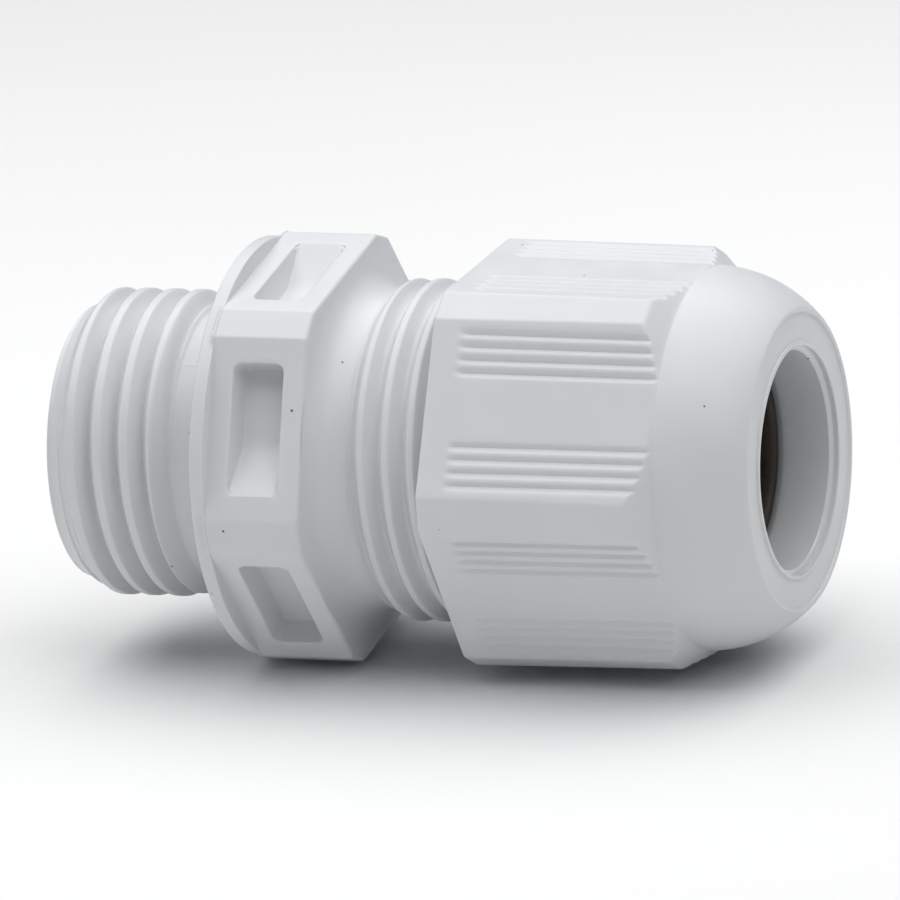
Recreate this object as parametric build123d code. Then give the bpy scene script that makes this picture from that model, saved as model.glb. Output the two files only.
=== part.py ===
from build123d import *
import math
import os

# Cable gland, metric thread M16 x 1.5, millimetres.
# +X runs along the gland's axis from the connecting thread to the cap nut's mouth, +Z is up.
# The origin is on the axis, in the plane of the flange face that seats on the enclosure wall.
# The gland lies on one flat of its cap nut, whose outward normal is -Z, and on its flange's rim.

# ---- connecting thread -------------------------------------------------------------------------
ENTRY_MAJOR_R = 8.0
ENTRY_PITCH = 1.5
ENTRY_ROOT_R = 7.1
ENTRY_END_X = -9.5
ENTRY_LEAD_R = 7.0
ENTRY_LEAD_LENGTH = 1.2
ENTRY_LEAD_RISE = 0.45
ENTRY_THREAD_START_X = -8.45
ENTRY_THREAD_STOP_X = -2.5
ENTRY_CREST_WIDTH = 0.42
ENTRY_PHASE_X = -7.77

# ---- flange and body hexagon -------------------------------------------------------------------
FLANGE_R = 10.88
FLANGE_THICKNESS = 0.74
BODY_FLATS = 20.0
BODY_CORNERS = 22.1
BODY_HEX_END_X = 5.85
BODY_TURN_DEG = 7.8
POCKET_X = (1.9, 4.65)
POCKET_HALF_LENGTH = 3.45
POCKET_DEPTH = 1.45
POCKET_RAMP_START = 0.75
POCKET_FILLET = 0.5

# ---- neck and cap thread -----------------------------------------------------------------------
NECK_R = 8.15
NECK_FILLET = 1.8
CAP_MAJOR_R = 8.88
CAP_PITCH = 1.4
CAP_CREST_WIDTH = 0.34
CAP_THREAD_START_X = 7.6
CAP_PHASE_X = 8.66
CAP_CREST_CLEARANCE = 0.2
THREAD_CLEARANCE = 0.1
THREAD_FLANK_DEG = 30.0
RIDGE_OVERLAP = 0.15

# ---- body bore and the seat of the sealing insert ----------------------------------------------
BORE_R = 5.6
SEAT_X = 13.0
SEAT_R = 6.7
BODY_TOP_X = 16.6

# ---- clamping claws ----------------------------------------------------------------------------
CLAW_COUNT = 12
CLAW_ROOT_X = 16.6
CLAW_LENGTH = 5.9
CLAW_THICKNESS = 1.0
CLAW_HINGE_R = 7.45
CLAW_ROOT_WIDTH = 3.2
CLAW_TIP_WIDTH = 2.1
CLAW_BEVEL = 0.6
CLAW_SLOT_CLEARANCE = 0.05

# ---- sealing insert ----------------------------------------------------------------------------
SEAL_BACK_X = 13.05
SEAL_INNER_R = 5.15
SEAL_OUTER_R = 6.55
SEAL_FRONT_X = 26.25
SEAL_SHOULDER_X = 24.6
SEAL_LIP = 0.25

# ---- cap nut -----------------------------------------------------------------------------------
NUT_REAR_X = 12.5
NUT_FACE_X = 29.5
NUT_REAR_FLATS = 20.16
NUT_FRONT_FLATS = 19.88
NUT_REAR_CORNERS = 22.2
NUT_FRONT_CORNERS = 22.0
NUT_DRAFT_END_X = 23.65
CHAMFER_START_X = 23.8
CHAMFER_START_R = 11.15
DOME_BASE_X = 24.95
DOME_BASE_R = 9.93
DOME_MID_X = 27.7
DOME_MID_R = 9.2
FACE_R = 7.88
FACE_RECESS = 0.08
FACE_RIM = 0.22
MOUTH_R = 5.65
MOUTH_EDGE_R = 5.92
MOUTH_STEP = 0.35
MOUTH_DEPTH = 3.0
NUT_ENTRY_R = 9.5
NUT_ENTRY_LENGTH = 0.5
NUT_THREAD_LENGTH = 5.2
NUT_CAVITY_R = 9.0
CONE_START_X = 21.4
GRIP_GROOVE_COUNT = 4
GRIP_GROOVE_PITCH = 0.69
GRIP_GROOVE_FIRST = 1.95
GRIP_GROOVE_WIDTH = 0.46
GRIP_GROOVE_DEPTH = 0.2
GRIP_START_X = 14.0

HEX_SIDES = 6
HEX_STEP = 360 / HEX_SIDES


def revolved(points):
    """The solid swept once round the gland's axis by a closed outline of (x, radius) points."""
    return revolve(make_face(Polyline(*points, close=True)), Axis.X)


def tube(x0, x1, outer, inner):
    """A plain hollow cylinder on the axis."""
    return revolved([(x0, inner), (x1, inner), (x1, outer), (x0, outer)])


def hexagon(across_flats, turn=0.0):
    """A hexagon in the YZ plane, one of whose sides faces -Z before it is turned about +X."""
    return RegularPolygon(across_flats / 2, HEX_SIDES, major_radius=False, rotation=turn)


def hex_outline(flats, corners, turn=0.0):
    """A hexagon whose corners are cut off flat at the given distance across corners."""
    return hexagon(flats, turn) & hexagon(corners, turn + HEX_STEP / 2)


def ridge(root_r, crest_r, crest_width, pitch, start_x, stop_x, phase_x):
    """A right-hand helical ridge of trapezoid section, long enough to cover start_x to stop_x.

    The crest's middle passes over the -Y side of the axis at phase_x. The ridge stands outwards
    if crest_r is the larger radius, and inwards if root_r is.
    """
    turns_before = math.ceil((phase_x - start_x) / pitch) + 1
    turns = turns_before + math.ceil((stop_x - phase_x) / pitch) + 1
    first_x = phase_x - turns_before * pitch
    half_crest = crest_width / 2
    half_root = half_crest + abs(crest_r - root_r) * math.tan(math.radians(THREAD_FLANK_DEG))
    path = Helix(pitch, turns * pitch, root_r, center=(0, 0, 0), direction=(0, 0, 1))
    section = Polyline(
        (root_r, -half_root),
        (crest_r, -half_crest),
        (crest_r, half_crest),
        (root_r, half_root),
        close=True,
    )
    face = Plane.XZ * make_face(section)
    coil = sweep(face, path, is_frenet=True)
    return Pos(first_x, 0, 0) * (Rot(X=-90) * (Rot(Y=90) * coil))


def body_ridges():
    """The connecting thread's ridge and the cap thread's ridge, each trimmed to its stretch."""
    entry = ridge(
        ENTRY_ROOT_R - RIDGE_OVERLAP,
        ENTRY_MAJOR_R,
        ENTRY_CREST_WIDTH,
        ENTRY_PITCH,
        ENTRY_THREAD_START_X,
        ENTRY_THREAD_STOP_X,
        ENTRY_PHASE_X,
    )
    depth = ENTRY_MAJOR_R - ENTRY_ROOT_R
    entry_room = revolved(
        [
            (ENTRY_THREAD_START_X - 0.5, 0),
            (ENTRY_THREAD_START_X - 0.5, ENTRY_ROOT_R),
            (ENTRY_THREAD_START_X + 0.4, ENTRY_MAJOR_R + 0.1),
            (ENTRY_THREAD_STOP_X - depth, ENTRY_MAJOR_R + 0.1),
            (ENTRY_THREAD_STOP_X, ENTRY_ROOT_R),
            (ENTRY_THREAD_STOP_X, 0),
        ]
    )
    cap = ridge(
        NECK_R - RIDGE_OVERLAP,
        CAP_MAJOR_R,
        CAP_CREST_WIDTH,
        CAP_PITCH,
        CAP_THREAD_START_X,
        BODY_TOP_X,
        CAP_PHASE_X,
    )
    depth = CAP_MAJOR_R - NECK_R
    cap_room = revolved(
        [
            (CAP_THREAD_START_X, 0),
            (CAP_THREAD_START_X, NECK_R),
            (CAP_THREAD_START_X + depth, CAP_MAJOR_R + 0.1),
            (BODY_TOP_X - depth, CAP_MAJOR_R + 0.1),
            (BODY_TOP_X, NECK_R),
            (BODY_TOP_X, 0),
        ]
    )
    return entry & entry_room, cap & cap_room


def body_core():
    """Everything on the body that is round: lead, thread cores, flange, neck, bore and seat."""
    neck_x = BODY_HEX_END_X + NECK_FILLET
    outline = [
        Polyline(
            (ENTRY_END_X, BORE_R),
            (ENTRY_END_X, ENTRY_LEAD_R),
            (ENTRY_END_X + ENTRY_LEAD_LENGTH, ENTRY_LEAD_R + ENTRY_LEAD_RISE),
            (ENTRY_END_X + ENTRY_LEAD_LENGTH, ENTRY_ROOT_R),
            (0, ENTRY_ROOT_R),
            (0, FLANGE_R),
            (FLANGE_THICKNESS, FLANGE_R),
            (FLANGE_THICKNESS, NECK_R),
            (neck_x, NECK_R),
            (BODY_TOP_X, NECK_R),
            (BODY_TOP_X, SEAT_R),
            (SEAT_X, SEAT_R),
            (SEAT_X, BORE_R),
            close=True,
        )
    ]
    return revolve(make_face(outline), Axis.X)


def neck_fillet():
    """The hollow curve that leads from the hexagon's end face down to the neck."""
    top = (BODY_HEX_END_X, NECK_R + NECK_FILLET)
    foot = (BODY_HEX_END_X + NECK_FILLET, NECK_R)
    sag = NECK_FILLET * (1 - math.sqrt(0.5))
    middle = (BODY_HEX_END_X + sag, NECK_R + sag)
    inner = NECK_R - 0.5
    outline = [
        ThreePointArc(top, middle, foot),
        Polyline(foot, (foot[0], inner), (BODY_HEX_END_X - 0.5, inner), (BODY_HEX_END_X - 0.5, top[1]), top),
    ]
    return revolve(make_face(outline), Axis.X)


def pocket(turn, ramped, ramp_side):
    """A pocket on one flat, whose outward normal is at the angle turn from +Y towards +Z.

    Its outline is drawn across the flat: y runs along the flat, z outwards from the axis.
    """
    surface = BODY_FLATS / 2
    floor = surface - POCKET_DEPTH
    above = surface + 1.0
    if ramped:
        near = POCKET_HALF_LENGTH * -ramp_side
        far = POCKET_HALF_LENGTH * ramp_side
        start = POCKET_RAMP_START * ramp_side
        section = Polyline((near, floor), (start, floor), (far, surface), (far, above), (near, above), close=True)
    else:
        half = POCKET_HALF_LENGTH
        section = Polyline((-half, floor), (half, floor), (half, above), (-half, above), close=True)
    block = extrude(Plane.YZ * make_face(section), POCKET_X[1] - POCKET_X[0])
    block = fillet(block.edges().filter_by(Axis.Z), POCKET_FILLET)
    return Rot(X=turn - 90 + BODY_TURN_DEG) * (Pos(POCKET_X[0], 0, 0) * block)


def body_pockets():
    """Six pockets, one on each flat. Before the hexagon is turned, the mould parts through its
    corners at 120 and 300 degrees.

    The two flats furthest from the parting plane have straight-walled pockets. On the other four
    the pocket's floor rises away from the parting plane, so that the mould can leave it.
    """
    pockets = []
    for turn, ramped, ramp_side in (
        (90, True, 1),
        (150, True, -1),
        (210, False, 0),
        (270, True, 1),
        (330, True, -1),
        (30, False, 0),
    ):
        pockets.append(pocket(turn, ramped, ramp_side))
    return pockets


def claw_frame(index):
    """The angle of one claw about the axis, from +Y towards +Z."""
    return index * 360 / CLAW_COUNT


def claw(index):
    """One clamping claw, hinged at its root about a line tangent to the ring of claws."""
    half = CLAW_THICKNESS / 2
    inner = CLAW_HINGE_R - half
    outer = CLAW_HINGE_R + half
    tip_x = CLAW_ROOT_X + CLAW_LENGTH
    side = [
        Polyline(
            (CLAW_ROOT_X, inner),
            (tip_x, inner),
            (tip_x, outer - CLAW_BEVEL),
            (tip_x - CLAW_BEVEL, outer),
            (CLAW_ROOT_X, outer),
        ),
        ThreePointArc((CLAW_ROOT_X, outer), (CLAW_ROOT_X - half, CLAW_HINGE_R), (CLAW_ROOT_X, inner)),
    ]
    slab = extrude(Plane.XY * make_face(side), CLAW_ROOT_WIDTH / 2, both=True)
    root_half = CLAW_ROOT_WIDTH / 2
    tip_half = CLAW_TIP_WIDTH / 2
    plan = Polyline(
        (CLAW_ROOT_X - half, -root_half),
        (CLAW_ROOT_X, -root_half),
        (tip_x, -tip_half),
        (tip_x, tip_half),
        (CLAW_ROOT_X, root_half),
        (CLAW_ROOT_X - half, root_half),
        close=True,
    )
    wedge = extrude(Plane.XZ * make_face(plan), -2 * CLAW_HINGE_R)
    round_outside = tube(CLAW_ROOT_X - 1, tip_x + 1, CLAW_HINGE_R + half, CLAW_HINGE_R / 2)
    return Rot(X=claw_frame(index)) * (slab & wedge & round_outside)


def claw_slot(index):
    """The rounded slot across the body's end that one claw's root turns in."""
    radius = CLAW_THICKNESS / 2 + CLAW_SLOT_CLEARANCE
    length = CLAW_ROOT_WIDTH + 4 * CLAW_SLOT_CLEARANCE
    return Rot(X=claw_frame(index)) * (Pos(CLAW_ROOT_X, CLAW_HINGE_R, 0) * Cylinder(radius, length))


def gland_body():
    """Connecting thread, flange, hexagon, neck and cap thread, with the bore through them."""
    hexagon_part = extrude(
        Plane.YZ * hex_outline(BODY_FLATS, BODY_CORNERS, BODY_TURN_DEG),
        BODY_HEX_END_X - FLANGE_THICKNESS + 0.2,
    )
    hexagon_part = Pos(FLANGE_THICKNESS - 0.2, 0, 0) * hexagon_part
    hexagon_part -= tube(-1, BODY_HEX_END_X + 1, NECK_R - 0.5, 0)
    entry, cap = body_ridges()
    body = body_core() + hexagon_part + neck_fillet() + entry + cap
    for cut in body_pockets():
        body -= cut
    body -= tube(ENTRY_END_X - 1, SEAT_X + 0.5, BORE_R, 0)
    for index in range(CLAW_COUNT):
        body -= claw_slot(index)
    return body


def sealing_insert():
    """The rubber insert that is squeezed on to the cable."""
    return revolved(
        [
            (SEAL_BACK_X, SEAL_INNER_R + SEAL_LIP),
            (SEAL_BACK_X + SEAL_LIP, SEAL_INNER_R),
            (SEAL_FRONT_X - SEAL_LIP, SEAL_INNER_R),
            (SEAL_FRONT_X, SEAL_INNER_R + SEAL_LIP),
            (SEAL_FRONT_X, MOUTH_R),
            (SEAL_SHOULDER_X, SEAL_OUTER_R),
            (SEAL_BACK_X, SEAL_OUTER_R),
        ]
    )


def nut_outside():
    """The cap nut's drafted hexagon, cut to a cone at its corners and a dome at its front."""
    rear = Plane.YZ.offset(NUT_REAR_X) * hex_outline(NUT_REAR_FLATS, NUT_REAR_CORNERS)
    front = Plane.YZ.offset(NUT_DRAFT_END_X) * hex_outline(NUT_FRONT_FLATS, NUT_FRONT_CORNERS)
    drafted = loft([rear.face(), front.face()])
    rest = extrude(front.face(), NUT_FACE_X - NUT_DRAFT_END_X + 1)
    outline = [
        Polyline(
            (NUT_FACE_X, FACE_R),
            (NUT_FACE_X, 0),
            (NUT_REAR_X - 1, 0),
            (NUT_REAR_X - 1, NUT_REAR_CORNERS),
            (CHAMFER_START_X, NUT_REAR_CORNERS),
            (CHAMFER_START_X, CHAMFER_START_R),
            (DOME_BASE_X, DOME_BASE_R),
        ),
        ThreePointArc((DOME_BASE_X, DOME_BASE_R), (DOME_MID_X, DOME_MID_R), (NUT_FACE_X, FACE_R)),
    ]
    return (drafted + rest) & revolve(make_face(outline), Axis.X)


def grip_grooves():
    """Two groups of shallow V grooves along each flat, next to its corners."""
    surface = NUT_REAR_FLATS / 2
    half = GRIP_GROOVE_WIDTH / 2
    top = surface + 0.5
    spread = half * (0.5 + GRIP_GROOVE_DEPTH) / GRIP_GROOVE_DEPTH
    section = make_face(
        Polyline((-spread, top), (0, surface - GRIP_GROOVE_DEPTH), (spread, top), close=True)
    )
    groove = extrude(Plane.YZ.offset(GRIP_START_X) * section, NUT_FACE_X - GRIP_START_X)
    draft = math.degrees(math.atan((NUT_REAR_FLATS - NUT_FRONT_FLATS) / 2 / (NUT_DRAFT_END_X - NUT_REAR_X)))
    pivot = (NUT_REAR_X, 0, surface)
    groove = groove.rotate(Axis(pivot, (0, 1, 0)), draft)
    grooves = []
    for side in range(HEX_SIDES):
        for k in range(GRIP_GROOVE_COUNT):
            for sign in (-1, 1):
                offset = sign * (GRIP_GROOVE_FIRST + k * GRIP_GROOVE_PITCH)
                placed = Rot(X=side * HEX_STEP) * (Pos(0, offset, 0) * groove)
                grooves.append(placed)
    return grooves


def nut_inside():
    """The room inside the cap nut: entry chamfer, cavity, cone that drives the claws, mouth."""
    mouth_x = NUT_FACE_X - MOUTH_DEPTH
    step_x = NUT_FACE_X - MOUTH_STEP
    return revolved(
        [
            (NUT_REAR_X - 1, 0),
            (NUT_REAR_X - 1, NUT_ENTRY_R),
            (NUT_REAR_X, NUT_ENTRY_R),
            (NUT_REAR_X + NUT_ENTRY_LENGTH, NUT_CAVITY_R),
            (CONE_START_X, NUT_CAVITY_R),
            (mouth_x, MOUTH_R),
            (step_x - 0.1, MOUTH_R),
            (step_x, MOUTH_EDGE_R),
            (NUT_FACE_X + 1, MOUTH_EDGE_R),
            (NUT_FACE_X + 1, 0),
        ]
    )


def nut_ridge():
    """The nut's inward ridge, which runs in the groove of the neck's thread."""
    flank = math.tan(math.radians(THREAD_FLANK_DEG))
    side_gap = THREAD_CLEARANCE / math.cos(math.radians(THREAD_FLANK_DEG))
    crest_r = NECK_R + CAP_CREST_CLEARANCE
    neck_ridge_width = CAP_CREST_WIDTH + 2 * (CAP_MAJOR_R - crest_r) * flank
    crest_width = CAP_PITCH - neck_ridge_width - 2 * side_gap
    start_x = NUT_REAR_X + NUT_ENTRY_LENGTH
    stop_x = NUT_REAR_X + NUT_THREAD_LENGTH
    coil = ridge(
        NUT_CAVITY_R + RIDGE_OVERLAP,
        crest_r,
        crest_width,
        CAP_PITCH,
        start_x,
        stop_x,
        CAP_PHASE_X + CAP_PITCH / 2,
    )
    depth = NUT_CAVITY_R - crest_r
    outside_r = NUT_CAVITY_R + 2 * RIDGE_OVERLAP
    room = revolved(
        [
            (start_x, NUT_CAVITY_R),
            (start_x + depth, crest_r - RIDGE_OVERLAP),
            (stop_x - depth, crest_r - RIDGE_OVERLAP),
            (stop_x, NUT_CAVITY_R),
            (stop_x, outside_r),
            (start_x, outside_r),
        ]
    )
    return coil & room


def cap_nut():
    """The domed nut that drives the claws inwards."""
    body = nut_outside() - nut_inside() + nut_ridge()
    for groove in grip_grooves():
        body -= groove
    recess = tube(
        NUT_FACE_X - FACE_RECESS, NUT_FACE_X + 1, FACE_R - FACE_RIM, MOUTH_EDGE_R + FACE_RIM
    )
    return body - recess


def main():
    os.makedirs("parts", exist_ok=True)
    nodes = {
        "gland_body": gland_body(),
        "sealing_insert": sealing_insert(),
        "cap_nut": cap_nut(),
    }
    for index in range(CLAW_COUNT):
        nodes[f"claw_{index + 1:02d}"] = claw(index)
    for name, shape in nodes.items():
        export_step(shape, f"parts/{name}.step")


main()
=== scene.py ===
import math

import bmesh
import bpy
import numpy as np
from mathutils import Matrix, Vector


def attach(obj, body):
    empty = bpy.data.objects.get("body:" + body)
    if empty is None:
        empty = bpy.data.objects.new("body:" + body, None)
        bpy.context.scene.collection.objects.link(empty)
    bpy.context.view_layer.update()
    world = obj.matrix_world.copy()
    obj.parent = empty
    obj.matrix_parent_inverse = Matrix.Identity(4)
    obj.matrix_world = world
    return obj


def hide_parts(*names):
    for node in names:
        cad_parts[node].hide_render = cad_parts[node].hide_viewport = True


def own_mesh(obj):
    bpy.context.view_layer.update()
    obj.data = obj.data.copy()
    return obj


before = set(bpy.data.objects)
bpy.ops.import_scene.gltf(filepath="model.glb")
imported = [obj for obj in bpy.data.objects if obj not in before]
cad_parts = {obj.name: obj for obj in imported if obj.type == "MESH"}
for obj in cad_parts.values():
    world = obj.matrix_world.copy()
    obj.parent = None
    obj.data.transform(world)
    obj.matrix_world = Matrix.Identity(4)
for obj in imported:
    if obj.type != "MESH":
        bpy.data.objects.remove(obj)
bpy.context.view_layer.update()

# Sizes are in millimetres and become metres when a mesh is built. +X is the gland's axis, from
# the connecting thread to the cap nut's mouth. Angles run about it, from +Y towards +Z.
MM = 0.001
FRONT_DEG = 180.0

ENTRY = dict(root=7.1, crest=8.0, pitch=1.5, width=0.42, phase=-7.77, start=-8.45, stop=-2.5)
ENTRY_END_X = -9.5
LEAD_R = 7.0
LEAD_END_X = -8.3
LEAD_END_R = 7.45
CAP = dict(root=8.15, crest=8.88, pitch=1.4, width=0.34, phase=8.66, start=7.6, stop=16.6)
FLANGE_R = 10.88
BODY_FLAT = 10.0
BODY_BAND = 11.05
BODY_TURN_DEG = 7.8
HEX_END_X = 5.85
NECK_FILLET = 1.8
POCKET_X = (1.9, 4.65)
POCKET_HALF = 3.45
POCKET_DEPTH = 1.45
POCKET_RAMP = 0.75
POCKET_CORNER = 0.5
POCKET_DRAFT = 0.16
BORE_R = 5.6
SEAT_R = 6.7
SEAT_X = 13.0
BODY_TOP_X = 16.6
CLAW_RING = (6.88, 8.0, 0.56)

NUT_REAR_X = 12.5
NUT_FACE_X = 29.5
NUT_FLAT = (10.08, 9.94)
NUT_BAND = (11.1, 11.0)
NUT_DRAFT_END_X = 23.65
CHAMFER_X = 23.8
CHAMFER_R = 11.15
DOME_BASE = (24.95, 9.93)
DOME_MID = (27.7, 9.2)
FACE_R = 7.88
FACE_RIM = 0.22
FACE_RECESS = 0.13
MOUTH_R = 5.65
MOUTH_EDGE_R = 5.92
MOUTH_STEP = 0.35
MOUTH_DEPTH = 3.0
NUT_CREST_R = 8.35
NUT_THREAD_LENGTH = 5.2
NUT_ENTRY_R = 9.5
NUT_CAVITY_R = 9.0
CONE_START_X = 21.4
GRIP_FIRST = 1.95
GRIP_PITCH = 0.69
GRIP_COUNT = 4
GRIP_DEPTH = 0.19
GRIP_HALF = 0.26
GRIP_START_X = 13.8

SEAL_BACK_X = 13.05
SEAL_FRONT_X = 26.25
SEAL_CONE_X = 24.6
SEAL_INNER_R = 5.15
SEAL_OUTER_R = 6.55

SIDES = 6
STEP_DEG = 360.0 / SIDES
EDGE_SHARPNESS = 600.0


# ---- camera ------------------------------------------------------------------------------------
def aim_camera():
    """A long lens, level with the gland's side, rolled so that the axis runs almost level."""
    tilt = math.radians(21.03)
    roll = math.radians(1.68)
    height = math.radians(18.0)
    towards = Vector(
        (math.sin(tilt), -math.cos(tilt) * math.cos(height), math.cos(tilt) * math.sin(height))
    )
    along = Vector((1, 0, 0))
    across = (along - along.dot(towards) * towards).normalized()
    above = towards.cross(across)
    right = math.cos(roll) * across + math.sin(roll) * above
    up = -math.sin(roll) * across + math.cos(roll) * above
    distance = 1034.6 * MM
    centre = Vector((10.21, 0, 0)) * MM
    data = bpy.data.cameras.new("camera")
    data.sensor_width = 36.0
    data.lens = 36.0 * 20000.0 / 900.0
    data.clip_start = 0.05
    data.clip_end = 20.0
    camera = bpy.data.objects.new("camera", data)
    bpy.context.scene.collection.objects.link(camera)
    turn = Matrix((right, up, towards)).transposed()
    camera.matrix_world = Matrix.Translation(centre + distance * towards) @ turn.to_4x4()
    bpy.context.scene.camera = camera
    return camera


aim_camera()


# ---- outlines ----------------------------------------------------------------------------------
def soft_min(a, b, radius):
    """The smaller of two values, with their crossing rounded off."""
    gap = np.maximum(radius - np.abs(a - b), 0.0) / radius
    return np.minimum(a, b) - gap * gap * radius / 4


def soft_max(a, b, radius):
    return -soft_min(-a, -b, radius)


def hex_radius(degrees, flat, band):
    """The radius of a hexagon with clipped corners, whose flats face 30, 90, 150... degrees."""
    total = 0.0
    for k in range(SIDES):
        for offset, reach in ((30.0, flat), (0.0, band)):
            facing = np.cos(np.radians(degrees - offset - k * STEP_DEG))
            facing = np.maximum(facing, 0.05)
            total = total + np.exp(EDGE_SHARPNESS * np.log(facing / reach * 10.0))
    return 10.0 * total ** (-1.0 / EDGE_SHARPNESS)


def thread_radius(degrees, x, thread, crest_round=0.1, root_round=0.3):
    """The radius of a right-hand thread with rounded crests and roots."""
    pitch = thread["pitch"]
    crest_x = thread["phase"] + pitch * (degrees - FRONT_DEG) / 360.0
    away = np.abs((x - crest_x + pitch / 2) % pitch - pitch / 2)
    slope = 1.0 / math.tan(math.radians(30.0))
    depth = thread["crest"] - thread["root"]
    rise = depth - (away - thread["width"] / 2) * slope
    rise = soft_min(rise, depth + 0 * rise, crest_round)
    return thread["root"] + soft_max(rise, 0 * rise, root_round)


def sector(marks):
    """Column angles for all six sides from the angles of one side, measured from its normal."""
    one = np.array(sorted(marks))
    return np.concatenate([30.0 + STEP_DEG * k + one for k in range(SIDES)])


def spread(start, stop, count):
    return list(np.linspace(start, stop, count))


def arc(start, middle, stop, x):
    """The radius at x of a circle's arc through three (x, radius) points."""
    (ax, ay), (bx, by), (cx, cy) = start, middle, stop
    d = 2 * (ax * (by - cy) + bx * (cy - ay) + cx * (ay - by))
    a2, b2, c2 = ax * ax + ay * ay, bx * bx + by * by, cx * cx + cy * cy
    ux = (a2 * (by - cy) + b2 * (cy - ay) + c2 * (ay - by)) / d
    uy = (a2 * (cx - bx) + b2 * (ax - cx) + c2 * (bx - ax)) / d
    reach = math.hypot(ax - ux, ay - uy)
    return uy + np.sqrt(np.maximum(reach * reach - (x - ux) ** 2, 0.0))


def ring(degrees, x, radius):
    """One row of points round the axis."""
    x = x + 0 * degrees
    radius = radius + 0 * degrees
    turn = np.radians(degrees)
    return np.stack([x, radius * np.cos(turn), radius * np.sin(turn)], 1)


def rounded_edge(x, radius, size, turns):
    """Rows round an outer edge, from a face at x to a side at a radius, at some turns."""
    for turn in turns:
        lean = math.radians(turn)
        yield x + size * (1 - math.cos(lean)), radius - size * (1 - math.sin(lean))


def build(name, points, faces, material, smooth_deg=38.0, normals=None):
    """A mesh object from points in millimetres, shaded smooth except across sharp edges.

    normals holds each point's exact normal, or zeros where the faces give it.
    """
    mesh = bpy.data.meshes.new(name)
    mesh.from_pydata([tuple(p) for p in np.asarray(points) * MM], [], faces)
    if normals is not None:
        exact = mesh.attributes.new("exact_normal", "FLOAT_VECTOR", "POINT")
        exact.data.foreach_set("vector", normals.astype(np.float32).ravel())
    work = bmesh.new()
    work.from_mesh(mesh)
    loose = [v for v in work.verts if not v.link_faces]
    bmesh.ops.delete(work, geom=loose, context="VERTS")
    bmesh.ops.recalc_face_normals(work, faces=work.faces)
    limit = math.radians(smooth_deg)
    for face in work.faces:
        face.smooth = True
    for edge in work.edges:
        if len(edge.link_faces) == 2 and edge.calc_face_angle(0.0) > limit:
            edge.smooth = False
    work.to_mesh(mesh)
    work.free()
    if normals is not None:
        exact = mesh.attributes["exact_normal"]
        values = np.zeros(len(mesh.vertices) * 3, np.float32)
        exact.data.foreach_get("vector", values)
        corners = np.zeros(len(mesh.loops), np.int32)
        mesh.loops.foreach_get("vertex_index", corners)
        mesh.attributes.remove(exact)
        mesh.normals_split_custom_set(values.reshape(-1, 3)[corners].tolist())
    mesh.materials.append(material)
    piece = bpy.data.objects.new(name, mesh)
    bpy.context.scene.collection.objects.link(piece)
    return piece


def closed_rings(rows):
    """Points and quads of a closed ring-shaped skin, from rows that each go once round."""
    points = np.concatenate(rows)
    count = len(rows[0])
    faces = []
    for i in range(len(rows)):
        below = i * count
        above = ((i + 1) % len(rows)) * count
        for j in range(count):
            k = (j + 1) % count
            faces.append((below + j, below + k, above + k, above + j))
    return points, faces


# ---- materials ---------------------------------------------------------------------------------
class Nodes:
    """A new material's node tree, with short ways to add and join nodes."""

    def __init__(self, name):
        self.material = bpy.data.materials.new(name)
        self.material.use_nodes = True
        self.tree = self.material.node_tree
        self.shader = self.tree.nodes["Principled BSDF"]
        coords = self.tree.nodes.new("ShaderNodeTexCoord")
        self.place = coords.outputs["Object"]

    def add(self, kind, values=None, **settings):
        node = self.tree.nodes.new(kind)
        for key, value in settings.items():
            setattr(node, key, value)
        for key, value in (values or {}).items():
            node.inputs[key].default_value = value
        return node

    def join(self, output, target):
        self.tree.links.new(output, target)

    def noise(self, per_mm, detail=2.0, roughness=0.5):
        values = {"Scale": per_mm / MM, "Detail": detail, "Roughness": roughness}
        node = self.add("ShaderNodeTexNoise", values)
        self.join(self.place, node.inputs["Vector"])
        return node.outputs["Fac"]

    def fit(self, output, low, high, to_low, to_high):
        values = {"From Min": low, "From Max": high, "To Min": to_low, "To Max": to_high}
        node = self.add("ShaderNodeMapRange", values)
        self.join(output, node.inputs["Value"])
        return node.outputs["Result"]

    def math(self, operation, first, second):
        node = self.add("ShaderNodeMath", operation=operation)
        for socket, value in zip(node.inputs, (first, second)):
            if isinstance(value, float):
                socket.default_value = value
            else:
                self.join(value, socket)
        return node.outputs[0]

    def mix(self, share, low, high):
        node = self.add("ShaderNodeMix", data_type="RGBA")
        self.join(share, node.inputs["Factor"])
        for key, value in (("A", low), ("B", high)):
            socket = [i for i in node.inputs if i.name == key and i.type == "RGBA"][0]
            if isinstance(value, tuple):
                socket.default_value = (*value, 1.0)
            else:
                self.join(value, socket)
        return [o for o in node.outputs if o.type == "RGBA"][0]

    def bumps(self, layers):
        """Surface relief from (height, depth in millimetres) layers."""
        normal = None
        for height, depth in layers:
            node = self.add("ShaderNodeBump", {"Distance": depth * MM, "Strength": 1.0})
            self.join(height, node.inputs["Height"])
            if normal is not None:
                self.join(normal, node.inputs["Normal"])
            normal = node.outputs["Normal"]
        self.join(normal, self.shader.inputs["Normal"])


def speck_mask(nodes, cell_mm, share, radius_mm):
    """Small round spots, one in some of the cells of a loose pattern."""
    node = nodes.add("ShaderNodeTexVoronoi", {"Scale": 1 / (cell_mm * MM)})
    nodes.join(nodes.place, node.inputs["Vector"])
    reach = radius_mm / cell_mm
    near = nodes.fit(node.outputs["Distance"], 0.6 * reach, reach, 1.0, 0.0)
    split = nodes.add("ShaderNodeSeparateColor")
    nodes.join(node.outputs["Color"], split.inputs["Color"])
    picked = nodes.math("LESS_THAN", split.outputs["Red"], share)
    return nodes.math("MULTIPLY", near, picked)


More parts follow.
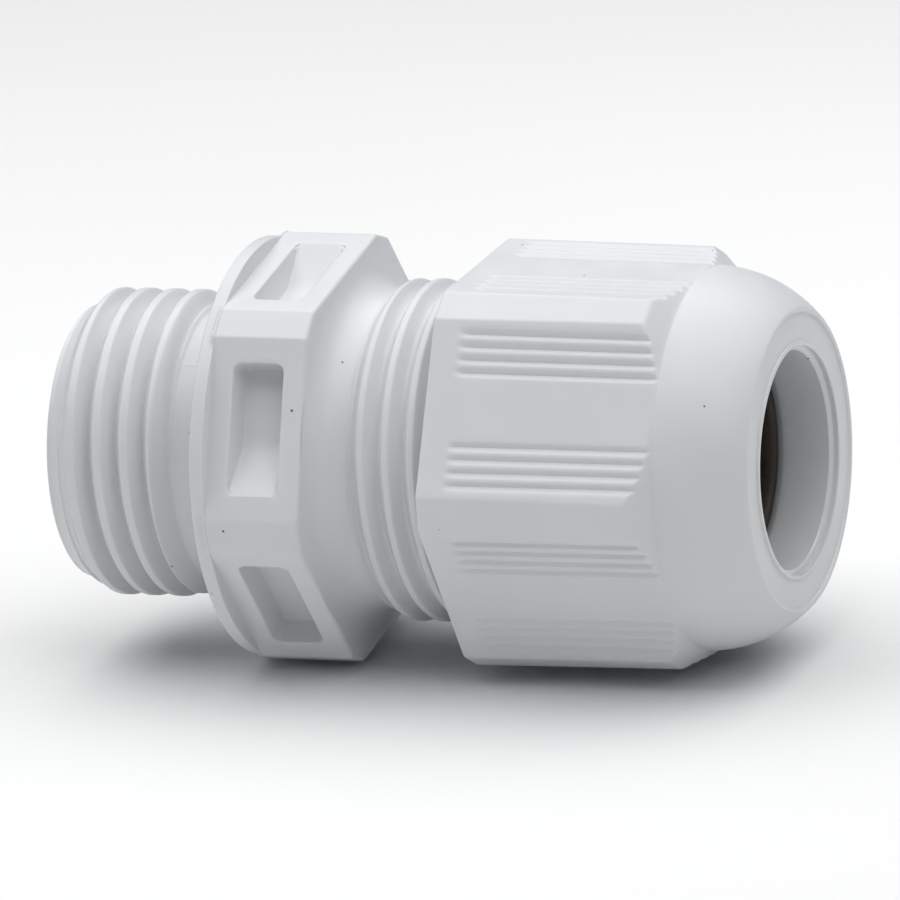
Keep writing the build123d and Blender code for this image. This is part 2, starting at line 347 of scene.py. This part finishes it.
def moulded_plastic(name, colour, gloss, grain_mm):
    """Light grey moulded polyamide: slightly cloudy, faintly grained, with a few dark specks."""
    nodes = Nodes(name)
    cloud = nodes.fit(nodes.noise(0.12, 3.0), 0.3, 0.7, 0.0, 1.0)
    darker = tuple(c * 0.955 for c in colour)
    base = nodes.mix(cloud, darker, colour)
    specks = speck_mask(nodes, 1.7, 0.16, 0.085)
    base = nodes.mix(specks, base, (0.05, 0.05, 0.05))
    nodes.join(base, nodes.shader.inputs["Base Color"])
    wear = nodes.noise(0.5, 4.0, 0.6)
    roughness = nodes.fit(wear, 0.3, 0.7, gloss - 0.06, gloss + 0.07)
    nodes.join(roughness, nodes.shader.inputs["Roughness"])
    nodes.shader.inputs["IOR"].default_value = 1.53
    nodes.shader.inputs["Subsurface Weight"].default_value = 0.12
    nodes.shader.inputs["Subsurface Radius"].default_value = (1.0, 0.95, 0.9)
    nodes.shader.inputs["Subsurface Scale"].default_value = 0.5 * MM
    fine = nodes.noise(7.0, 3.0, 0.6)
    soft = nodes.noise(0.7, 2.0)
    nodes.bumps([(soft, 0.02), (fine, grain_mm)])
    return nodes.material


def rubber(name):
    """Near-black rubber with a faint brown cast and a dusty, slightly uneven surface."""
    nodes = Nodes(name)
    dust = nodes.fit(nodes.noise(0.6, 5.0, 0.65), 0.35, 0.75, 0.0, 1.0)
    base = nodes.mix(dust, (0.022, 0.017, 0.014), (0.05, 0.038, 0.03))
    nodes.join(base, nodes.shader.inputs["Base Color"])
    nodes.join(nodes.fit(dust, 0.0, 1.0, 0.42, 0.62), nodes.shader.inputs["Roughness"])
    nodes.bumps([(nodes.noise(1.1, 2.0), 0.03), (nodes.noise(9.0, 3.0, 0.6), 0.006)])
    return nodes.material


GREY = (0.66, 0.675, 0.69)
BODY_PLASTIC = moulded_plastic("body_plastic", GREY, 0.40, 0.003)
NUT_PLASTIC = moulded_plastic("nut_plastic", GREY, 0.43, 0.0045)
MOUTH_PLASTIC = moulded_plastic("mouth_plastic", GREY, 0.22, 0.001)
RUBBER = rubber("seal_rubber")


# ---- gland body --------------------------------------------------------------------------------
def mirrored(marks):
    return sorted({-m for m in marks} | set(marks))


def tangent_degrees(offsets, apothem):
    return [math.degrees(math.atan2(t, apothem)) for t in offsets]


# The opening left in each flat for its pocket: half its width, and the rows that cross it.
HOLE_T = 3.75
HEX_ROWS = [1.6, 1.7, 1.82, 1.96, 2.13, 2.33, 2.58, 2.85, 3.12]
HEX_ROWS += [3.4, 3.66, 3.92, 4.17, 4.4, 4.58, 4.72, 4.83, 4.95]


def body_columns():
    """Column angles, dense at the pockets' sides and where the flats meet the bands."""
    inside = [0.0, 0.25, 0.75, 1.25, 1.75, 2.2, 2.6, 2.9, 3.1, 3.25, 3.38, 3.5, 3.62, HOLE_T]
    outside = [4.05, 4.35, 4.53, 4.63, 4.69, 4.74, 4.78, 4.82, 4.87, 4.93, 5.03, 5.2, 5.45]
    side = tangent_degrees(inside + outside, BODY_FLAT) + [29.45, 29.8]
    return sector(mirrored(side) + [30.0])


# Which end of each flat's pocket, by the flat's facing in degrees, its floor ramps up to.
RAMP_SIDES = {90: -1, 150: 1, 210: 0, 270: -1, 330: 1, 30: 0}
PARTING = (120.0, 300.0)


def parting_line(degrees, height=0.016, half_width=0.35):
    """The hair-thin ridge that the mould's joint leaves along the body."""
    total = 0.0 * degrees
    for place in PARTING:
        away = (degrees - place + 180.0) % 360.0 - 180.0
        total = total + height * np.maximum(1.0 - np.abs(away) / half_width, 0.0)
    return total


def entry_thread(degrees, x):
    """The connecting thread, faded in over the lead cone and out before the flange."""
    cone = LEAD_R + (x - ENTRY_END_X) * (LEAD_END_R - LEAD_R) / (LEAD_END_X - ENTRY_END_X)
    core = min(cone, LEAD_END_R + (LEAD_END_X - x) * 0.6)
    core = max(core, ENTRY["root"]) + 0 * degrees
    depth = ENTRY["crest"] - ENTRY["root"]
    rising = ENTRY["root"] + (x - ENTRY["start"] + 0.5) * (depth + 0.1) / 0.9
    falling = ENTRY["root"] + (ENTRY["stop"] - x)
    ridge = thread_radius(degrees + BODY_TURN_DEG, x, ENTRY)
    ridge = soft_min(ridge, np.minimum(rising, falling) + 0 * degrees, 0.1)
    return soft_max(core, ridge, 0.08)


def cap_thread(degrees, x):
    """The neck's thread for the cap nut, faded in and out at its ends."""
    rising = CAP["root"] + (x - CAP["start"])
    falling = CAP["root"] + (CAP["stop"] - x)
    ridge = thread_radius(degrees + BODY_TURN_DEG, x, CAP)
    ridge = soft_min(ridge, np.minimum(rising, falling) + 0 * degrees, 0.15)
    return soft_max(CAP["root"] + 0 * degrees, ridge, 0.08)


def surface_normals(degrees, x, radius_at):
    """Outward normals of the surface radius_at(degrees, x) at one x."""
    step = 0.004
    spin = 0.1
    radius = radius_at(degrees, x)
    along = (radius_at(degrees, x + step) - radius_at(degrees, x - step)) / (2 * step)
    around = radius_at(degrees + spin, x) - radius_at(degrees - spin, x)
    around = around / (2 * math.radians(spin)) / radius
    turn = np.radians(degrees + BODY_TURN_DEG)
    y = np.cos(turn) + around * np.sin(turn)
    z = np.sin(turn) - around * np.cos(turn)
    normals = np.stack([-along, y, z], 1)
    return normals / np.linalg.norm(normals, axis=1, keepdims=True)


def body_rows(degrees):
    """Rows over the outside from the connecting thread's end to the neck's end, and back
    through the bore, with the exact normals of the threads' rows.
    """
    hexagon = hex_radius(degrees, BODY_FLAT, BODY_BAND)
    line = parting_line(degrees)
    flat = 0 * degrees
    rows = []
    normals = []

    def add(x, radius):
        rows.append(ring(degrees, x, radius))
        normals.append(np.zeros((len(degrees), 3)))

    def add_thread(x, radius_at):
        rows.append(ring(degrees, x, radius_at(degrees, x) + line))
        normals.append(surface_normals(degrees, x, radius_at))

    edge = 0.1
    add(ENTRY_END_X, BORE_R + 2 * edge)
    add(ENTRY_END_X, LEAD_R - 1.2 * edge)
    for x, radius in rounded_edge(ENTRY_END_X, LEAD_R, edge, (30, 60)):
        add(x, radius)
    for x in np.arange(ENTRY_END_X + 0.12, ENTRY["stop"], 0.07):
        add_thread(float(x), entry_thread)
    for x in spread(ENTRY["stop"] + 0.05, -0.35, 6):
        add(x, ENTRY["root"] + line)

    # A fillet from the thread's root to the flange's front, and the flange's rounded rim.
    for x, radius in ((-0.2, 7.13), (-0.1, 7.2), (-0.03, 7.3), (0.0, 7.45)):
        add(x, radius + flat)
    for radius in (8.6, 9.8, FLANGE_R - edge):
        add(0.0, radius + flat)
    for x, radius in rounded_edge(0.0, FLANGE_R, edge, (22.5, 45, 67.5, 90)):
        add(x, radius + flat)

    # The hexagon's corners grow out of the flange's rim, and its flats fall back behind it.
    add(0.3, FLANGE_R + flat)
    add(0.52, FLANGE_R + flat)
    for x, inset in ((0.55, 0.06), (0.58, 0.02), (0.63, 0.0), (0.67, 0.0)):
        add(x, np.maximum(FLANGE_R, hexagon - inset))
    for x, inset in ((0.71, 0.012), (0.735, 0.035), (0.745, 0.07)):
        add(x, np.maximum(FLANGE_R - inset, hexagon))
    add(0.75, hexagon + 0.05)
    add(0.78, hexagon + 0.01)
    for x in [0.84, 1.0, 1.3] + HEX_ROWS + [5.2, 5.4, 5.56]:
        add(x, hexagon)
    rim = 0.24
    for turn in (0, 20, 40, 60, 80):
        lean = math.radians(turn)
        add(HEX_END_X - rim * (1 - math.sin(lean)), hexagon - rim * (1 - math.cos(lean)))

    # The large fillet between the hexagon and the neck, then the neck with the cap thread.
    foot_r = CAP["root"]
    add(HEX_END_X, np.maximum(hexagon - rim, foot_r + NECK_FILLET - 0.02))
    add(HEX_END_X + 0.005, foot_r + NECK_FILLET - 0.06 + flat)
    for turn in range(12, 91, 6):
        lean = math.radians(turn)
        x = HEX_END_X + NECK_FILLET * (1 - math.cos(lean))
        add(x, foot_r + NECK_FILLET * (1 - math.sin(lean)) + 0.3 * line)
    neck = np.concatenate([np.arange(7.72, 12.6, 0.07), np.arange(12.6, 16.45, 0.12)])
    for x in neck:
        add_thread(float(x), cap_thread)

    # The neck's end with the claws' ring groove, the seat, and the bore back to the front.
    groove_in, groove_out, groove_depth = CLAW_RING
    add(BODY_TOP_X - 0.04, CAP["root"] + flat)
    add(BODY_TOP_X, CAP["root"] - 0.04 + flat)
    add(BODY_TOP_X, groove_out + flat)
    for radius in (groove_out, groove_out - 0.3, groove_in + 0.3, groove_in):
        add(BODY_TOP_X - groove_depth, radius + flat)
    add(BODY_TOP_X, groove_in + flat)
    add(BODY_TOP_X, SEAT_R + 0.05 + flat)
    add(BODY_TOP_X - 0.05, SEAT_R + flat)
    for x in spread(BODY_TOP_X - 0.6, SEAT_X, 6):
        add(x, SEAT_R + flat)
    add(SEAT_X, BORE_R + 0.1 + flat)
    add(SEAT_X - 0.1, BORE_R + flat)
    for x in spread(SEAT_X - 1.5, ENTRY_END_X + 0.2, 16):
        add(x, BORE_R + flat)
    return rows, np.concatenate(normals)


def rounded_box(points, half_t, half_x, radius):
    """The nearest points of a rounded rectangle to points outside it, about its own centre."""
    core_t = np.clip(points[:, 0], radius - half_t, half_t - radius)
    core_x = np.clip(points[:, 1], radius - half_x, half_x - radius)
    core = np.stack([core_t, core_x], 1)
    away = points - core
    reach = np.maximum(np.linalg.norm(away, axis=1, keepdims=True), 1e-9)
    return core + away / reach * radius


def coons(loop, across, along):
    """A grid inside a four-sided loop. The loop starts at its first corner and goes across."""
    bottom = loop[: across + 1]
    right = loop[across : across + along + 1]
    top = loop[across + along : 2 * across + along + 1][::-1]
    left = np.concatenate([loop[2 * across + along :], loop[:1]])[::-1]
    u = np.linspace(0, 1, across + 1)[:, None, None]
    v = np.linspace(0, 1, along + 1)[None, :, None]
    sides = (1 - v) * bottom[:, None] + v * top[:, None] + (1 - u) * left[None] + u * right[None]
    corners = (1 - v) * ((1 - u) * bottom[0] + u * bottom[-1])
    corners = corners + v * ((1 - u) * top[0] + u * top[-1])
    return sides - corners


def floor_depth(t, ramp_side):
    """How deep the pocket's floor lies at a place along the flat."""
    if ramp_side == 0:
        return POCKET_DEPTH + 0 * t
    share = (t * ramp_side - POCKET_RAMP) / (POCKET_HALF - POCKET_RAMP)
    ramp = POCKET_DEPTH * (1 - share)
    return soft_min(ramp, POCKET_DEPTH + 0 * t, 0.12)


# Each ring of a pocket's rounded rim: how far outside the outline, and how deep.
WALL = [(0.1, 0.0), (0.05, 0.015), (0.015, 0.05), (0.0, 0.1)]


def pocket_rings(loop, half_t, half_x, ramp_side):
    """Loops of (t, x, depth) from the flat's surface down the wall to the pocket's floor."""
    rings = []
    for out, drop in WALL:
        edge = rounded_box(loop, half_t + out, half_x + out, POCKET_CORNER + out)
        limit = floor_depth(edge[:, 0], ramp_side)
        rings.append(np.column_stack([edge, np.minimum(drop, np.maximum(limit, 0.0))]))
    foot = 0.16
    for turn in (0, 30, 60, 90):
        lean = math.radians(turn)
        inside = 0.05 + foot * (1 - math.cos(lean))
        edge = rounded_box(loop, half_t - inside, half_x - inside, POCKET_CORNER - inside)
        limit = floor_depth(edge[:, 0], ramp_side)
        edge[:, 1] *= 1 - POCKET_DRAFT / half_x * np.clip(limit / POCKET_DEPTH, 0.0, 1.0)
        depth = np.maximum(limit - foot * (1 - math.sin(lean)), np.minimum(limit, 0.1))
        rings.append(np.column_stack([edge, np.maximum(depth, 0.0)]))
    return rings


def gland_body():
    """The body's skin, with a pocket set into the opening left in each of its flats."""
    degrees = body_columns()
    rows, normals = body_rows(degrees)
    points, faces = closed_rings(rows)
    count = len(degrees)
    first_row = next(i for i, r in enumerate(rows) if abs(r[0][0] - HEX_ROWS[0]) < 1e-9)
    last_row = first_row + len(HEX_ROWS) - 1
    centre_x = (POCKET_X[0] + POCKET_X[1]) / 2
    half_x = (POCKET_X[1] - POCKET_X[0]) / 2
    extra = []
    removed = set()
    total = len(points)
    for facing, ramp_side in RAMP_SIDES.items():
        offsets = (degrees - facing + 180.0) % 360.0 - 180.0
        near = np.where(np.abs(np.tan(np.radians(offsets)) * BODY_FLAT) < HOLE_T + 1e-6)[0]
        near = near[np.abs(offsets[near]) < 30]
        near = near[np.argsort(offsets[near])]
        across = len(near) - 1
        along = last_row - first_row
        for i in range(first_row, last_row):
            for j in near[:-1]:
                removed.add(i * count + j)
        loop = [first_row * count + j for j in near]
        loop += [i * count + near[-1] for i in range(first_row + 1, last_row + 1)]
        loop += [last_row * count + j for j in near[-2::-1]]
        loop += [i * count + near[0] for i in range(last_row - 1, first_row, -1)]
        turn = math.radians(facing)
        out = np.array([0.0, math.cos(turn), math.sin(turn)])
        side = np.array([0.0, -math.sin(turn), math.cos(turn)])
        flat = np.column_stack([points[loop] @ side, points[loop][:, 0] - centre_x])
        rings = pocket_rings(flat, POCKET_HALF, half_x, ramp_side)
        previous = loop
        for ring_points in rings:
            here = list(range(total, total + len(loop)))
            extra.append(place_on_flat(ring_points, centre_x, out, side))
            total += len(loop)
            for k in range(len(loop)):
                n = (k + 1) % len(loop)
                faces.append((previous[k], previous[n], here[n], here[k]))
            previous = here
        inner = coons(rings[-1][:, :2], across, along)
        depth = floor_depth(inner[..., 0], ramp_side)
        inside = np.concatenate([inner, np.maximum(depth, 0.0)[..., None]], 2)
        index = -np.ones((across + 1, along + 1), int)
        walk = [(a, 0) for a in range(across + 1)]
        walk += [(across, b) for b in range(1, along + 1)]
        walk += [(a, along) for a in range(across - 1, -1, -1)]
        walk += [(0, b) for b in range(along - 1, 0, -1)]
        for (a, b), known in zip(walk, previous):
            index[a, b] = known
        fresh = [(a, b) for a in range(1, across) for b in range(1, along)]
        for a, b in fresh:
            index[a, b] = total
            total += 1
        extra.append(place_on_flat(np.array([inside[a, b] for a, b in fresh]), centre_x, out, side))
        for a in range(across):
            for b in range(along):
                faces.append((index[a, b], index[a + 1, b], index[a + 1, b + 1], index[a, b + 1]))
    kept = [tuple(int(v) for v in f) for i, f in enumerate(faces) if i not in removed]
    points = np.concatenate([points] + extra)
    turn = math.radians(BODY_TURN_DEG)
    y = points[:, 1] * math.cos(turn) - points[:, 2] * math.sin(turn)
    z = points[:, 1] * math.sin(turn) + points[:, 2] * math.cos(turn)
    points = np.stack([points[:, 0], y, z], 1)
    normals = np.concatenate([normals, np.zeros((len(points) - len(normals), 3))])
    return build("gland_body_shell", points, kept, BODY_PLASTIC, normals=normals)


def place_on_flat(local, centre_x, out, side):
    """Points of the gland's frame from (t, x, depth) on one flat of the body."""
    along = np.array([1.0, 0.0, 0.0])
    height = BODY_FLAT - local[:, 2]
    return local[:, :1] * side + (local[:, 1:2] + centre_x) * along + height[:, None] * out


# ---- cap nut -----------------------------------------------------------------------------------
def nut_columns():
    """Column angles, dense at the grip's grooves and where the flats meet the bands."""
    group = []
    for k in range(GRIP_COUNT):
        middle = GRIP_FIRST + k * GRIP_PITCH
        group += [middle + s for s in (-0.28, -0.24, -0.2, -0.07, 0.0, 0.07, 0.2, 0.24, 0.28)]
    flat = [0.0, 0.5, 1.0, 1.35, 1.6] + group
    band = [4.52, 4.6, 4.66, 4.71, 4.76, 4.81, 4.87, 4.95, 5.1, 5.35]
    side = tangent_degrees(flat + band, 10.0)
    return sector(mirrored(side) + [30.0])


def grip(degrees, x):
    """How deep the grip's wavy grooves are cut, measured along each flat's normal."""
    offset = (degrees - 30.0 + STEP_DEG / 2) % STEP_DEG - STEP_DEG / 2
    t = np.abs(np.tan(np.radians(offset)) * 10.0)
    place = (t - GRIP_FIRST) / GRIP_PITCH
    inside = (place > -0.5) & (place < GRIP_COUNT - 0.5)
    away = np.abs(place - np.round(place)) * GRIP_PITCH
    wall = 1.0 - away / GRIP_HALF
    wave = soft_min(soft_max(wall, 0 * wall, 0.3), 0.9 + 0 * wall, 0.35)
    start = np.clip((x - GRIP_START_X) / 0.8, 0.0, 1.0)
    taper = start * start * (3 - 2 * start)
    return np.where(inside, wave, 0.0) * GRIP_DEPTH * taper / np.cos(np.radians(offset))


def nut_outside(degrees, x):
    """The drafted hexagon with its grip grooves, cut back by the cone over its corners."""
    share = min(max((x - NUT_REAR_X) / (NUT_DRAFT_END_X - NUT_REAR_X), 0.0), 1.0)
    flat = NUT_FLAT[0] + (NUT_FLAT[1] - NUT_FLAT[0]) * share
    band = NUT_BAND[0] + (NUT_BAND[1] - NUT_BAND[0]) * share
    radius = hex_radius(degrees, flat, band) - grip(degrees, x)
    return soft_min(radius, nut_limit(x) + 0 * degrees, 0.1)


def nut_limit(x):
    """The cone over the nut's corners and the dome at its front, as a radius."""
    if x <= CHAMFER_X:
        return CHAMFER_R + (CHAMFER_X - x)
    cone = CHAMFER_R + (x - CHAMFER_X) * (DOME_BASE[1] - CHAMFER_R) / (DOME_BASE[0] - CHAMFER_X)
    if x <= DOME_BASE[0]:
        return cone
    return float(arc(DOME_BASE, DOME_MID, (NUT_FACE_X, FACE_R), x))


def nut_rows(degrees):
    """Rows over the nut's outside from its rear to its face, and back through the mouth."""
    flat = 0 * degrees
    rows = []

    def add(x, radius):
        rows.append(ring(degrees, x, radius))

    # The rear face, the hexagon with its grip, and the dome.
    add(NUT_REAR_X, NUT_ENTRY_R + flat)
    rear = nut_outside(degrees, NUT_REAR_X)
    for x, radius in rounded_edge(NUT_REAR_X, rear, 0.16, (0, 22, 45, 68, 90)):
        add(x, radius)
    for x in (12.9, 13.2, 13.5, 13.75):
        add(x, nut_outside(degrees, x))
    for x in spread(GRIP_START_X - 0.05, GRIP_START_X + 0.85, 10):
        add(x, nut_outside(degrees, x))
    for x in spread(15.0, 22.9, 16):
        add(x, nut_outside(degrees, x))
    for x in np.arange(23.0, NUT_FACE_X - 0.2, 0.09):
        add(x, nut_outside(degrees, float(x)))

    # The face, recessed between a rim at its outside and one round the mouth.
    for x in (NUT_FACE_X - 0.1, NUT_FACE_X - 0.04):
        add(x, nut_limit(x) + flat)
    add(NUT_FACE_X, FACE_R - 0.02 + flat)
    outer = FACE_R - FACE_RIM
    add(NUT_FACE_X, outer + 0.04 + flat)
    add(NUT_FACE_X - 0.025, outer + flat)
    add(NUT_FACE_X - FACE_RECESS, outer - 0.05 + flat)
    for radius in (7.2, 6.8, 6.4):
        add(NUT_FACE_X - FACE_RECESS, radius + flat)
    inner = MOUTH_EDGE_R + FACE_RIM
    add(NUT_FACE_X - FACE_RECESS, inner + 0.05 + flat)
    add(NUT_FACE_X - 0.025, inner + flat)
    add(NUT_FACE_X, inner - 0.05 + flat)
    add(NUT_FACE_X, MOUTH_EDGE_R + 0.06 + flat)
    add(NUT_FACE_X - 0.05, MOUTH_EDGE_R + flat)

    # The mouth, its small step first, then the cone that closes the claws.
    step = NUT_FACE_X - MOUTH_STEP
    add(step + 0.03, MOUTH_EDGE_R + flat)
    add(step - 0.02, MOUTH_EDGE_R - 0.06 + flat)
    add(step - 0.06, MOUTH_R + 0.06 + flat)
    add(step - 0.13, MOUTH_R + flat)
    for x in spread(step - 0.4, NUT_FACE_X - MOUTH_DEPTH + 0.06, 7):
        add(x, MOUTH_R + flat)
    mouth_x = NUT_FACE_X - MOUTH_DEPTH
    add(mouth_x - 0.04, MOUTH_R + 0.02 + flat)
    for x in spread(mouth_x - 0.4, CONE_START_X + 0.1, 10):
        radius = MOUTH_R + (mouth_x - x) * (NUT_CAVITY_R - MOUTH_R) / (mouth_x - CONE_START_X)
        add(x, radius + flat)

    # The cavity, and the inner thread at its rear.
    thread_end = NUT_REAR_X + NUT_THREAD_LENGTH
    for x in spread(CONE_START_X - 0.1, thread_end + 0.1, 6):
        add(x, NUT_CAVITY_R + flat)
    thread = dict(CAP, root=NUT_CREST_R, crest=NUT_CAVITY_R, width=0.46)
    start = NUT_REAR_X + NUT_ENTRY_R - NUT_CAVITY_R
    for x in np.arange(thread_end, start, -0.1):
        fade = max(thread_end - x, 0.0), max(x - start, 0.0)
        ridge = thread_radius(degrees, float(x), thread, 0.1, 0.1)
        add(x, np.maximum(ridge, NUT_CAVITY_R - min(fade)))
    add(start, NUT_CAVITY_R + flat)
    return rows


def cap_nut():
    """The nut's whole skin, with the mouth's faces in their own smoother plastic."""
    degrees = nut_columns()
    points, faces = closed_rings(nut_rows(degrees))
    nut = build("cap_nut_shell", points, faces, NUT_PLASTIC, 28.0)
    nut.data.materials.append(MOUTH_PLASTIC)
    deep = NUT_FACE_X - MOUTH_DEPTH - 1.0
    for face in nut.data.polygons:
        x, y, z = face.center / MM
        if math.hypot(y, z) < MOUTH_EDGE_R + 0.03 and x > deep:
            face.material_index = 1
    return nut


# ---- sealing insert ----------------------------------------------------------------------------
def sealing_insert():
    """The rubber sleeve round the cable, with a cone at its front and rounded lips."""
    degrees = np.arange(0.0, 360.0, 2.5)
    flat = 0 * degrees
    lip = 0.25
    edge = 0.08
    rows = []
    for x, radius in (
        (SEAL_BACK_X + lip, SEAL_INNER_R),
        (SEAL_BACK_X + edge, SEAL_INNER_R + edge),
        (SEAL_BACK_X, SEAL_INNER_R + lip),
        (SEAL_BACK_X, SEAL_OUTER_R - edge),
        (SEAL_BACK_X + edge, SEAL_OUTER_R),
    ):
        rows.append(ring(degrees, x, radius + flat))
    for x in spread(SEAL_BACK_X + 1.0, SEAL_CONE_X - 0.2, 12):
        rows.append(ring(degrees, x, SEAL_OUTER_R + flat))
    rows.append(ring(degrees, SEAL_CONE_X, SEAL_OUTER_R + flat))
    fall = (SEAL_OUTER_R - MOUTH_R) / (SEAL_FRONT_X - SEAL_CONE_X)
    for x in spread(SEAL_CONE_X + 0.3, SEAL_FRONT_X - 0.1, 5):
        rows.append(ring(degrees, x, SEAL_OUTER_R - (x - SEAL_CONE_X) * fall + flat))
    for x, radius in (
        (SEAL_FRONT_X - 0.02, MOUTH_R - 0.03),
        (SEAL_FRONT_X, MOUTH_R - 0.1),
        (SEAL_FRONT_X, SEAL_INNER_R + lip),
        (SEAL_FRONT_X - edge, SEAL_INNER_R + edge),
        (SEAL_FRONT_X - lip, SEAL_INNER_R),
    ):
        rows.append(ring(degrees, x, radius + flat))
    for x in spread(SEAL_FRONT_X - 0.8, SEAL_BACK_X + 0.8, 26):
        rows.append(ring(degrees, x, SEAL_INNER_R + flat))
    points, faces = closed_rings(rows)
    return build("sealing_insert_sleeve", points, faces, RUBBER)


# ---- assembly ----------------------------------------------------------------------------------
body = gland_body()
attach(body, "gland_body")
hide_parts("gland_body")

nut = cap_nut()
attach(nut, "cap_nut")
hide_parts("cap_nut")

seal = sealing_insert()
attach(seal, "sealing_insert")
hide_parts("sealing_insert")
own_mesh(seal)

for name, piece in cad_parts.items():
    if name.startswith("claw_"):
        piece.data.materials.clear()
        piece.data.materials.append(BODY_PLASTIC)


# ---- room and light ----------------------------------------------------------------------------
FLOOR_Z = -10.92


def backdrop():
    """A pale floor, wide enough to fill the picture from every side."""
    half = 3000.0
    corners = ((-half, -half), (half, -half), (half, half), (-half, half))
    points = [(x, y, FLOOR_Z) for x, y in corners]
    faces = [(0, 1, 2, 3)]
    nodes = Nodes("backdrop")
    tone = nodes.fit(nodes.noise(0.01, 2.0), 0.3, 0.7, 0.0, 1.0)
    base = nodes.mix(tone, (0.84, 0.84, 0.84), (0.87, 0.87, 0.87))
    nodes.join(base, nodes.shader.inputs["Base Color"])
    nodes.shader.inputs["Roughness"].default_value = 0.85
    sheet = build("floor", points, faces, nodes.material, 60.0)
    return sheet


def lamp(name, place, target, size, watts, colour=(1.0, 1.0, 1.0)):
    data = bpy.data.lights.new(name, "AREA")
    data.shape = "RECTANGLE"
    data.size, data.size_y = size[0] * MM, size[1] * MM
    data.energy = watts
    data.color = colour
    light = bpy.data.objects.new(name, data)
    light.location = Vector(place) * MM
    aim = (Vector(target) - Vector(place)).normalized()
    light.rotation_mode = "QUATERNION"
    light.rotation_quaternion = aim.to_track_quat("-Z", "Y")
    bpy.context.scene.collection.objects.link(light)
    return light


def room():
    backdrop()
    middle = (10.0, 0.0, 0.0)
    lamp("top", (10.0, 20.0, 170.0), middle, (380.0, 320.0), 0.75)
    lamp("front", (80.0, -420.0, 60.0), middle, (220.0, 260.0), 0.03)
    lamp("right", (330.0, -230.0, 260.0), middle, (170.0, 130.0), 0.13)
    lamp("left", (-330.0, -160.0, 60.0), middle, (110.0, 200.0), 0.12)
    lamp("below", (20.0, -300.0, -9.0), (10.0, 0.0, -9.0), (420.0, 3.0), 0.03)
    world = bpy.data.worlds.new("room")
    world.use_nodes = True
    world.node_tree.nodes["Background"].inputs["Color"].default_value = (0.93, 0.96, 1.0, 1.0)
    world.node_tree.nodes["Background"].inputs["Strength"].default_value = 0.12
    bpy.context.scene.world = world
    bpy.context.scene.view_settings.view_transform = "Standard"


room()
